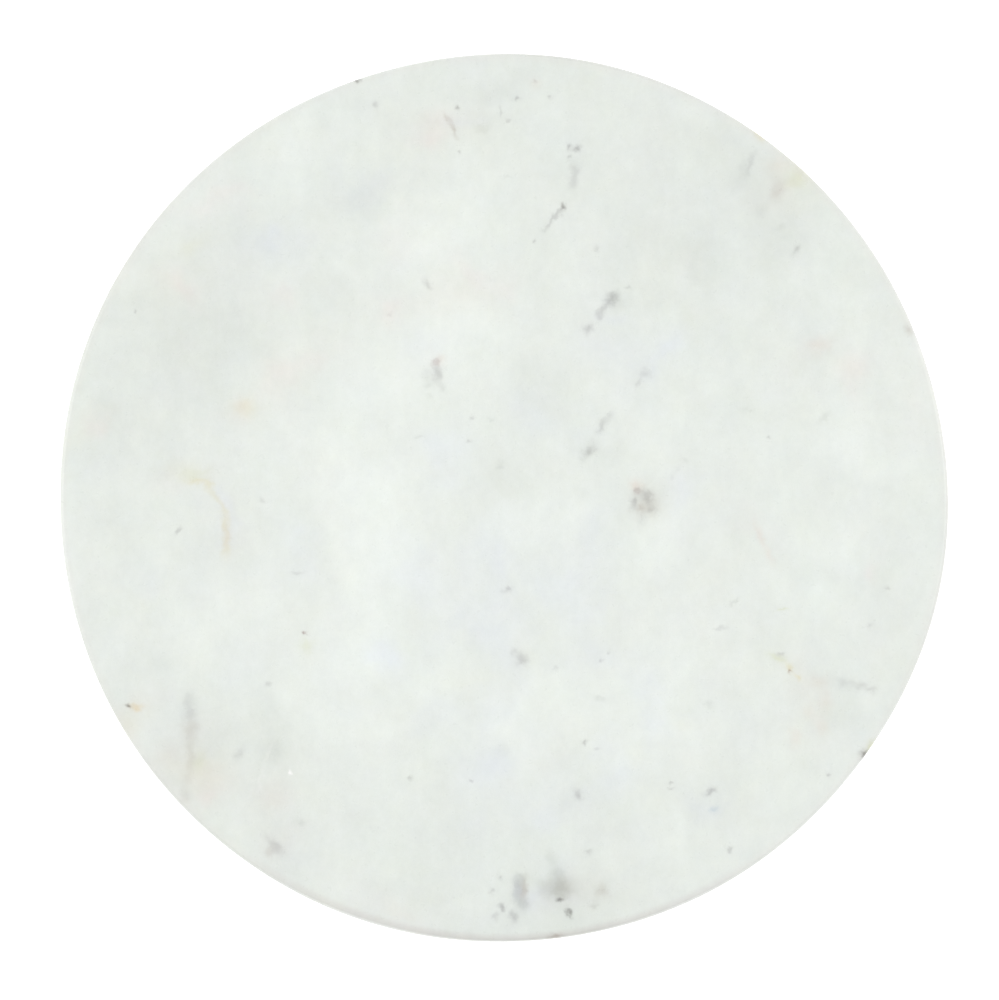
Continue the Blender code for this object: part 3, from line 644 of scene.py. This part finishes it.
def marble_slab():
    top_ease, bottom_ease = 2.2 * MM, 1.3 * MM
    top = (SLAB_RADIUS - top_ease, SLAB_HIGH.z - top_ease)
    bottom = (SLAB_RADIUS - bottom_ease, SLAB_LOW.z + bottom_ease)
    profile = [
        (0, SLAB_LOW.z),
        (SLAB_RADIUS * 0.5, SLAB_LOW.z),
        (SLAB_RADIUS * 0.75, SLAB_LOW.z),
        (SLAB_RADIUS * 0.95, SLAB_LOW.z),
        *arc(bottom, bottom_ease, -90, 0, 6),
        *arc(top, top_ease, 0, 90, 9),
        (SLAB_RADIUS * 0.95, SLAB_HIGH.z),
        (SLAB_RADIUS * 0.75, SLAB_HIGH.z),
        (SLAB_RADIUS * 0.5, SLAB_HIGH.z),
        (0, SLAB_HIGH.z),
    ]
    bm = turned_bm(profile, SLAB_STEPS)
    for vertex in bm.verts:
        radius = math.hypot(vertex.co.x, vertex.co.y)
        if radius > SLAB_RADIUS * 0.96:
            angle = math.atan2(vertex.co.y, vertex.co.x)
            grow = 1 + slab_outline(angle) / radius
            vertex.co.x *= grow
            vertex.co.y *= grow
    mesh = finish_mesh(bm, "stone_slab")
    holes = bmesh.new()
    for number in SIX:
        angle = node_angle(f"threaded_insert_{number}")
        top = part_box(f"threaded_insert_{number}")[1].z + 0.6 * MM
        mouth = polar(SCREW_CIRCLE, angle, SLAB_LOW.z - OVERCUT)
        cylinder_bm(holes, 4.5 * MM, mouth, polar(SCREW_CIRCLE, angle, top), HOLE_STEPS)
    mesh = bored(mesh, holes)
    place("stone_slab", mesh, marble(), "turntable", "marble_top", "marble")


# ---------------------------------------------------------------- metals and plastics


def turned_metal(name, colour, rough, ring_scale, wear):
    """Turned metal: fine rings round the axis, with small differences in shade and gloss."""
    s = Shader(name)
    local = s.coordinates()
    radius = s.length(s.vector("MULTIPLY", local, (1, 1, 0)))
    lathe = s.node("CombineXYZ", {0: radius, 1: s.split(local)[2]})
    rings = s.noise(s.scaled(lathe, ring_scale), 1.0, 3.0, 0.7)
    patch = s.noise(local, 45.0, 4.0, 0.6)
    dark = tuple(c * 0.80 for c in colour) + (1,)
    shade = s.ranged(s.math("ADD", s.math("MULTIPLY", rings, 0.6), s.math("MULTIPLY", patch, 0.4)), 0.3, 0.7)
    s.set(Base_Color=s.mixed(shade, dark, tuple(colour) + (1,)), Metallic=1.0)
    s.set(Roughness=s.ranged(patch, 0.3, 0.7, rough - wear, rough + wear))
    s.set(Normal=s.bump(rings, 0.006 * MM, 0.4))
    return s.material


def ball_steel():
    """Chrome steel with a duller band where the ball rolls in the two grooves."""
    s = Shader("ball_steel")
    local = s.coordinates()
    track = s.ranged(s.math("ABSOLUTE", s.split(local)[2]), 0.2 * MM, 0.7 * MM, 1.0, 0.0, smooth=True)
    scuffs = s.noise(s.stretched(local, (900.0, 900.0, 5000.0)), 1.0, 3.0, 0.6)
    rough = s.math("MULTIPLY_ADD", track, 0.16, s.ranged(scuffs, 0.3, 0.7, 0.10, 0.18))
    s.set(Base_Color=s.mixed(track, (0.66, 0.66, 0.67, 1), (0.50, 0.50, 0.51, 1)))
    s.set(Metallic=1.0, Roughness=rough)
    s.set(Normal=s.bump(scuffs, 0.003 * MM, 0.5))
    return s.material


def zinc_steel():
    """Zinc-plated steel: a cool, slightly cloudy surface with small bright grains."""
    s = Shader("zinc_steel")
    local = s.coordinates()
    cloud = s.noise(local, 500.0, 4.0, 0.6)
    grain = s.node("TexVoronoi", {"Vector": local, "Scale": 2600.0}, out=0)
    shade = s.ranged(s.math("ADD", s.math("MULTIPLY", cloud, 0.7), s.math("MULTIPLY", grain, 0.3)), 0.2, 0.7)
    s.set(Base_Color=s.mixed(shade, (0.46, 0.47, 0.49, 1), (0.66, 0.67, 0.68, 1)), Metallic=1.0)
    s.set(Roughness=s.ranged(cloud, 0.3, 0.7, 0.22, 0.38))
    s.set(Normal=s.bump(grain, 0.004 * MM, 0.5))
    return s.material


def brass():
    s = Shader("cast_brass")
    local = s.coordinates()
    cloud = s.noise(local, 420.0, 4.0, 0.6)
    scratch = s.noise(s.stretched(local, (600.0, 600.0, 5200.0)), 1.0, 3.0, 0.6)
    s.set(Base_Color=s.mixed(cloud, (0.62, 0.44, 0.18, 1), (0.86, 0.68, 0.34, 1)), Metallic=1.0)
    s.set(Roughness=s.ranged(scratch, 0.3, 0.7, 0.26, 0.44), Normal=s.bump(scratch, 0.006 * MM, 0.5))
    return s.material


def rubber():
    """Black moulded rubber, slightly dusty and finely pebbled."""
    s = Shader("black_rubber")
    local = s.coordinates()
    pebble = s.node("TexVoronoi", {"Vector": local, "Scale": 2400.0}, out=0)
    dust = s.ranged(s.noise(local, 260.0, 5.0, 0.65), 0.42, 0.72, smooth=True)
    s.set(Base_Color=s.mixed(dust, (0.018, 0.018, 0.019, 1), (0.060, 0.058, 0.056, 1)))
    s.set(Roughness=s.ranged(dust, 0.0, 1.0, 0.62, 0.86), Normal=s.bump(pebble, 0.02 * MM, 0.6))
    return s.material


def silicone():
    """Milky silicone washers, soft and slightly cloudy."""
    s = Shader("milky_silicone")
    cloud = s.noise(s.coordinates(), 380.0, 4.0, 0.6)
    s.set(Base_Color=s.mixed(cloud, (0.66, 0.67, 0.66, 1), (0.80, 0.80, 0.78, 1)))
    s.set(Roughness=s.ranged(cloud, 0.3, 0.7, 0.45, 0.6), Normal=s.bump(cloud, 0.01 * MM, 0.4))
    s.bsdf.inputs["Subsurface Weight"].default_value = 0.2
    s.bsdf.inputs["Subsurface Scale"].default_value = 0.001
    return s.material


def nylon():
    """Natural nylon: ivory, waxy, with flow marks from the mould and a trace of grease."""
    s = Shader("natural_nylon")
    local = s.coordinates()
    flow = s.noise(s.stretched(local, (40.0, 40.0, 260.0)), 1.0, 4.0, 0.6)
    grease = s.ranged(s.noise(local, 120.0, 4.0, 0.6), 0.52, 0.66, smooth=True)
    s.set(Base_Color=s.mixed(flow, (0.74, 0.71, 0.62, 1), (0.84, 0.82, 0.74, 1)))
    s.set(Roughness=s.math("MULTIPLY_ADD", grease, -0.22, s.ranged(flow, 0.3, 0.7, 0.42, 0.52)))
    s.set(Normal=s.bump(flow, 0.01 * MM, 0.5))
    return s.material


# ---------------------------------------------------------------- the bearing


def groove(side, steps=14):
    """The ball groove in a ring's wall, from its lower lip to its upper one."""
    reach = math.degrees(math.acos(WALL_OFFSET / GROOVE_RADIUS))
    points = arc((0, BALL_HEIGHT), GROOVE_RADIUS, -reach, reach, steps)
    return [(PITCH_RADIUS + side * r, z) for r, z in points]


def inner_ring(material):
    ease = 0.8 * MM
    count = len(groove(-1))
    profile = [
        (INNER_BORE, FLANGE_BOTTOM),
        (FLANGE_RADIUS - ease, FLANGE_BOTTOM),
        (FLANGE_RADIUS, FLANGE_BOTTOM - ease),
        (FLANGE_RADIUS, INNER_LOW.z),
        (INNER_WALL, INNER_LOW.z),
        *groove(-1),
        (INNER_WALL, INNER_HIGH.z),
        (INNER_BORE + ease, INNER_HIGH.z),
        (INNER_BORE, INNER_HIGH.z - ease),
    ]
    profile = rounded(profile, 0.4 * MM, 3, skip=range(5, 5 + count))
    mesh = turned("turned_inner_ring", profile, RING_STEPS)
    sink, hole = 5.2 * MM, 2.8 * MM
    section = [
        (0, -OVERCUT),
        (sink + OVERCUT, -OVERCUT),
        (hole, sink - hole),
        (hole, 5 * MM + OVERCUT),
        (0, 5 * MM + OVERCUT),
    ]
    holes = bmesh.new()
    one = turned("screw_hole", section, HOLE_STEPS)
    for number in SIX:
        first = len(holes.verts)
        holes.from_mesh(one)
        holes.verts.ensure_lookup_table()
        spot = polar(SCREW_CIRCLE, node_angle(f"ring_screw_{number}"), FLANGE_BOTTOM)
        bmesh.ops.translate(holes, verts=holes.verts[first:], vec=spot)
    mesh = bored(mesh, holes)
    place("turned_inner_ring", mesh, material, "turntable", "inner_race_ring", "aluminium")


def outer_ring(material):
    shoulder = 3.0 * MM
    corner = (OUTER_RADIUS - shoulder, OUTER_HIGH.z - shoulder)
    count = len(groove(+1))
    profile = [
        (OUTER_WALL, OUTER_LOW.z),
        *groove(+1),
        (OUTER_WALL, OUTER_HIGH.z),
        *arc(corner, shoulder, 90, 0, 10),
        (OUTER_RADIUS, OUTER_LOW.z + 0.8 * MM),
        (OUTER_RADIUS - 0.8 * MM, OUTER_LOW.z),
    ]
    skip = [*range(1, 1 + count), *range(2 + count, 13 + count)]
    profile = rounded(profile, 0.35 * MM, 3, skip=skip)
    mesh = turned("turned_outer_ring", profile, RING_STEPS)
    holes = bmesh.new()
    for number in SIX:
        middle = box_middle(f"rubber_foot_{number}")
        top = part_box(f"rubber_foot_{number}")[1].z + 0.3 * MM
        mouth = Vector((middle.x, middle.y, OUTER_LOW.z - OVERCUT))
        cylinder_bm(holes, 3.8 * MM, mouth, Vector((middle.x, middle.y, top)), HOLE_STEPS)
    angle = node_angle("ball_loading_plug")
    inside = polar(PITCH_RADIUS, angle, BALL_HEIGHT)
    outside = polar(OUTER_RADIUS + OVERCUT, angle, BALL_HEIGHT)
    cylinder_bm(holes, PLUG_RADIUS + 0.3 * MM, inside, outside, HOLE_STEPS)
    mesh = bored(mesh, holes)
    place("turned_outer_ring", mesh, material, "base", "outer_race_ring", "aluminium")


def loading_plug(material):
    """The slotted plug in the outer ring's side, with its piece of the ball groove inside."""
    angle = node_angle("ball_loading_plug")
    length = PLUG_END - PITCH_RADIUS  # it is turned from the pitch circle out, then cut back to the race
    ease = 0.35 * MM
    corner = arc((PLUG_RADIUS - ease, length - ease), ease, 0, 90, 4)
    profile = [(0, 0), (PLUG_RADIUS, 0), *corner, (0, length)]
    turn = Matrix.Rotation(angle, 4, "Z") @ Matrix.Rotation(math.pi / 2, 4, "Y")
    spot = Matrix.Translation(polar(PITCH_RADIUS, angle, BALL_HEIGHT))
    mesh = turned("slotted_plug", profile, 48)
    mesh.transform(spot @ turn)
    core = PITCH_RADIUS - WALL_OFFSET
    low, high = BALL_HEIGHT - 8 * MM, BALL_HEIGHT + 8 * MM
    race = [(core, low), (OUTER_WALL, low), *groove(+1), (OUTER_WALL, high), (core, high)]
    mesh = bored(mesh, turned_bm(race, RING_STEPS))
    slot = bmesh.new()
    middle = Vector((0, 0, length - 0.2 * MM))
    size = Matrix.Diagonal((1.0 * MM, 12 * MM, 2.0 * MM, 1))
    bmesh.ops.create_cube(slot, size=1.0, matrix=spot @ turn @ Matrix.Translation(middle) @ size)
    mesh = bored(mesh, slot)
    mesh.name = "slotted_plug"
    place("slotted_plug", mesh, material, "base", "ball_loading_plug", "steel")


def ball_cage(material):
    low, high = CAGE_LOW.z, CAGE_HIGH.z
    inside, outside = PITCH_RADIUS - 0.5 * MM, PITCH_RADIUS + 0.5 * MM
    profile = [(inside, low), (outside, low), (outside, high), (inside, high)]
    mesh = turned("pocketed_cage", rounded(profile, 0.3 * MM, 3), RING_STEPS)
    pockets = bmesh.new()
    for number in BALL_NUMBERS:
        angle = node_angle(f"bearing_ball_{number:02d}")
        start = polar(inside - OVERCUT, angle, BALL_HEIGHT)
        end = polar(outside + OVERCUT, angle, BALL_HEIGHT)
        cylinder_bm(pockets, BALL_RADIUS + 0.25 * MM, start, end, HOLE_STEPS)
    mesh = bored(mesh, pockets)
    place("pocketed_cage", mesh, material, "cage", "ball_cage", "nylon")


def bearing_balls(material):
    """Balls whose own Z is the line that each rolls about."""
    bm = bmesh.new()
    bmesh.ops.create_cube(bm, size=2.0)
    bmesh.ops.subdivide_edges(bm, edges=bm.edges, cuts=13, use_grid_fill=True)
    for vertex in bm.verts:
        # Even out the grid on the cube before it is blown up to a ball.
        vertex.co = Vector([math.tan(c * math.pi / 4) for c in vertex.co]).normalized() * BALL_RADIUS
    mesh = finish_mesh(bm, "steel_ball", 180.0)
    for number in BALL_NUMBERS:
        node = f"bearing_ball_{number:02d}"
        turn = (0, math.pi / 4, node_angle(node))
        name, body = f"steel_ball_{number:02d}", f"ball_{number:02d}"
        place(name, mesh, material, body, node, "steel", box_middle(node), turn)


def threaded(bm, radius, low, high, pitch, height, sign=1.0):
    """Raises a helical thread on the vertices of a bmesh that lie on a cylinder."""
    for vertex in bm.verts:
        here = math.hypot(vertex.co.x, vertex.co.y)
        if abs(here - radius) < 1e-6 and low < vertex.co.z < high:
            angle = math.atan2(vertex.co.y, vertex.co.x)
            phase = (vertex.co.z / pitch - angle / math.tau) % 1.0
            fade = min(1.0, (vertex.co.z - low) / pitch, (high - vertex.co.z) / pitch)
            grow = 1 - sign * height * fade * (1 - abs(2 * phase - 1)) / here
            vertex.co.x *= grow
            vertex.co.y *= grow


def ring_screws(material):
    """Countersunk machine screws with hex sockets and rolled threads."""
    head, shank, length = 4.6 * MM, 2.4 * MM, 12.0 * MM
    rows = 110
    start, end = head - shank + 0.3 * MM, length - 0.3 * MM
    profile = [
        (0, 0),
        (head - 0.25 * MM, 0),
        (head - 0.08 * MM, 0.04 * MM),
        (head - 0.05 * MM, 0.12 * MM),
        (shank, head - shank),
        *[(shank, start + (end - start) * k / rows) for k in range(rows + 1)],
        (shank - 0.3 * MM, length),
        (0, length),
    ]
    bm = turned_bm(profile, 48)
    threaded(bm, shank, start, end, 0.8 * MM, 0.42 * MM)
    mesh = finish_mesh(bm, "hex_screw", 50.0)
    socket = turned_bm([(0, 1.6 * MM), (1.75 * MM, 1.6 * MM), (1.75 * MM, -OVERCUT), (0, -OVERCUT)], 6)
    mesh = bored(mesh, socket, 50.0)
    lead_in = [(0, 0.3 * MM), (1.55 * MM, 0.3 * MM), (2.35 * MM, -0.5 * MM), (0, -0.5 * MM)]
    mesh = bored(mesh, turned_bm(lead_in, 48), 50.0)
    mesh.name = "hex_screw"
    place_on_screw_circle("hex_screw", mesh, material, "ring_screw", "steel")


def threaded_inserts(material):
    """Knurled sleeves with a thread inside, and a groove round the middle that keys the resin."""
    bore, outside, length, slot = 2.8 * MM, 4.2 * MM, 8.0 * MM, 0.5 * MM
    rows, middle = 80, length / 2
    knurl = [(outside, z * MM) for z in (0.4, 1.0, 1.6, 2.2, 2.8, 3.3)]
    profile = [
        (bore + 0.2 * MM, 0),
        (outside - 0.3 * MM, 0),
        *knurl,
        (outside, middle - slot),
        (outside - slot, middle - slot),
        (outside - slot, middle + slot),
        (outside, middle + slot),
        *[(r, length - z) for r, z in reversed(knurl)],
        (outside - 0.3 * MM, length),
        (bore + 0.2 * MM, length),
        *[(bore, length - 0.2 * MM - (length - 0.4 * MM) * k / rows) for k in range(rows + 1)],
    ]
    bm = turned_bm(profile, 60)
    threaded(bm, bore, 0.3 * MM, length - 0.3 * MM, 0.8 * MM, 0.3 * MM, -1.0)
    for vertex in bm.verts:
        radius = math.hypot(vertex.co.x, vertex.co.y)
        if abs(radius - outside) < 1e-6:
            angle = math.atan2(vertex.co.y, vertex.co.x)
            # Two crossed sets of ridges make the diamonds of the knurl.
            turn = vertex.co.z / (2.4 * MM)
            ridges = math.cos(15 * angle + math.tau * turn) * math.cos(15 * angle - math.tau * turn)
            grow = 1 - 0.12 * MM * (1 - ridges) / radius
            vertex.co.x *= grow
            vertex.co.y *= grow
    mesh = finish_mesh(bm, "brass_sleeve")
    place_on_screw_circle("brass_sleeve", mesh, material, "threaded_insert", "brass")


def cushion_pads(material):
    bore, outside, thick = 3.2 * MM, 6.0 * MM, 1.0 * MM
    profile = rounded([(bore, 0), (outside, 0), (outside, thick), (bore, thick)], 0.35 * MM, 4)
    mesh = turned("soft_washer", profile, 56)
    place_on_screw_circle("soft_washer", mesh, material, "cushion_pad", "silicone")


def rubber_feet(material):
    """Moulded feet: a dished sole with a raised rim, a parting line, and a stem with a rounded lead."""
    radius, flange, stem, top = 7.5 * MM, 2.7 * MM, 3.5 * MM, 7.0 * MM
    profile = [
        (0, 0.45 * MM),
        (3.4 * MM, 0.45 * MM),
        (3.9 * MM, 0.30 * MM),
        (4.5 * MM, 0.02 * MM),
        (5.0 * MM, 0),
        *arc((radius - 0.8 * MM, 0.8 * MM), 0.8 * MM, -90, 0, 6)[:-1],
        (radius - 0.06 * MM, 0.85 * MM),
        (radius - 0.06 * MM, 1.45 * MM),
        (radius, 1.52 * MM),
        (radius, 1.60 * MM),
        (radius - 0.06 * MM, 1.67 * MM),
        *arc((radius - 0.5 * MM, flange - 0.5 * MM), 0.45 * MM, 0, 90, 5),
        (stem + 0.25 * MM, flange - 0.05 * MM),
        (stem, flange + 0.2 * MM),
        *arc((stem - 0.7 * MM, top - 0.7 * MM), 0.7 * MM, 0, 90, 5),
        (0, top),
    ]
    mesh = turned("moulded_foot", profile, 64)
    for number in SIX:
        node = f"rubber_foot_{number}"
        middle = box_middle(node)
        spot = Vector((middle.x, middle.y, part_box(node)[0].z))
        place(f"moulded_foot_{number}", mesh, material, "base", node, "rubber", spot)


# ---------------------------------------------------------------- the studio

LENS, SENSOR = 100.0, 36.0
# The slab's radius, and the sideways places of its middle, as shares of the picture's longer side.
VIEW_RADIUS = 0.4445
VIEW_SIDE = (0.0038, 0.0018)
VIEW_LEVEL = SLAB_HIGH.z - 2.0 * MM  # the height at which the slab's outline is widest
WORLD_LIGHT = 1.12
WORLD_FRONT = 0.45  # how much dimmer the world is in front and behind
WORLD_TILT = 0.12  # how much brighter it is behind than in front
WORLD_SEEN = 1.1
BOX_WATTS = 7.0
FLOOR_GLOW = 0.5


def camera():
    """Straight above the slab, with +Y up in the picture."""
    data = bpy.data.cameras.new("camera")
    data.lens = LENS
    data.sensor_width = SENSOR
    data.clip_end = 50.0
    share = VIEW_RADIUS / (SLAB_RADIUS - OUTLINE_INSET)
    distance = LENS / SENSOR / share
    eye = bpy.data.objects.new("camera", data)
    eye.location = (-VIEW_SIDE[0] / share, -VIEW_SIDE[1] / share, VIEW_LEVEL + distance)
    bpy.context.scene.collection.objects.link(eye)
    bpy.context.scene.camera = eye


def world():
    """White all round to the camera. To everything else it is brighter at the sides than in front."""
    made = bpy.data.worlds.new("studio")
    bpy.context.scene.world = made
    made.use_nodes = True
    tree = made.node_tree
    background = tree.nodes["Background"]
    direction = tree.nodes.new("ShaderNodeTexCoord").outputs["Generated"]
    parts = tree.nodes.new("ShaderNodeSeparateXYZ")
    tree.links.new(direction, parts.inputs[0])

    def math_node(operation, a, b):
        made = tree.nodes.new("ShaderNodeMath")
        made.operation = operation
        for socket, value in zip(made.inputs, (a, b)):
            if isinstance(value, bpy.types.NodeSocket):
                tree.links.new(value, socket)
            else:
                socket.default_value = value
        return made.outputs[0]

    along = math_node("MULTIPLY", parts.outputs[1], parts.outputs[1])
    light = math_node("SUBTRACT", WORLD_LIGHT, math_node("MULTIPLY", along, WORLD_FRONT))
    light = math_node("ADD", light, math_node("MULTIPLY", parts.outputs[1], WORLD_TILT))
    seen = tree.nodes.new("ShaderNodeLightPath").outputs["Is Camera Ray"]
    mix = tree.nodes.new("ShaderNodeMix")
    tree.links.new(seen, mix.inputs[0])
    tree.links.new(light, mix.inputs[2])
    mix.inputs[3].default_value = WORLD_SEEN
    tree.links.new(mix.outputs[0], background.inputs["Strength"])
    background.inputs["Color"].default_value = (1.0, 1.0, 1.0, 1.0)


def softboxes():
    """One large soft light at each side."""
    for name, side in (("softbox_left", -1), ("softbox_right", 1)):
        data = bpy.data.lights.new(name, "AREA")
        data.shape = "RECTANGLE"
        data.size, data.size_y = 0.9, 1.3
        data.energy = BOX_WATTS
        light = bpy.data.objects.new(name, data)
        light.location = (side * 1.3, 0.1, 1.0)
        aim = Vector((0, 0, 0.02)) - light.location
        light.rotation_euler = aim.to_track_quat("-Z", "Y").to_euler()
        light.visible_camera = False
        bpy.context.scene.collection.objects.link(light)


def floor():
    """A plain pale floor. It is bright enough to the camera to come out white round the slab, and
    only its upper side shows, so that a view from below sees the underside."""
    bm = bmesh.new()
    bmesh.ops.create_grid(bm, x_segments=24, y_segments=24, size=6.0)
    obj = bpy.data.objects.new("floor", finish_mesh(bm, "floor"))
    bpy.context.scene.collection.objects.link(obj)
    s = Shader("floor")
    cloud = s.noise(s.coordinates(), 3.0, 4.0, 0.5)
    s.set(Base_Color=s.mixed(cloud, (0.88, 0.88, 0.88, 1), (0.92, 0.92, 0.92, 1)))
    s.bsdf.inputs["Roughness"].default_value = 0.9
    s.bsdf.inputs["Specular IOR Level"].default_value = 0.1
    s.bsdf.inputs["Emission Color"].default_value = (1, 1, 1, 1)
    s.bsdf.inputs["Emission Strength"].default_value = FLOOR_GLOW
    clear = s.tree.nodes.new("ShaderNodeBsdfTransparent")
    mix = s.tree.nodes.new("ShaderNodeMixShader")
    back = s.tree.nodes.new("ShaderNodeNewGeometry").outputs["Backfacing"]
    s.tree.links.new(back, mix.inputs[0])
    s.tree.links.new(s.bsdf.outputs[0], mix.inputs[1])
    s.tree.links.new(clear.outputs[0], mix.inputs[2])
    s.tree.links.new(mix.outputs[0], s.tree.nodes["Material Output"].inputs["Surface"])
    obj.data.materials.append(s.material)


def main():
    marble_slab()
    aluminium = turned_metal("turned_aluminium", (0.80, 0.81, 0.82), 0.30, 2600.0, 0.07)
    inner_ring(aluminium)
    outer_ring(aluminium)
    loading_plug(zinc_steel())
    ball_cage(nylon())
    bearing_balls(ball_steel())
    ring_screws(zinc_steel())
    threaded_inserts(brass())
    cushion_pads(silicone())
    rubber_feet(rubber())
    world()
    softboxes()
    floor()
    camera()
    bpy.context.scene.view_settings.view_transform = "Standard"


main()
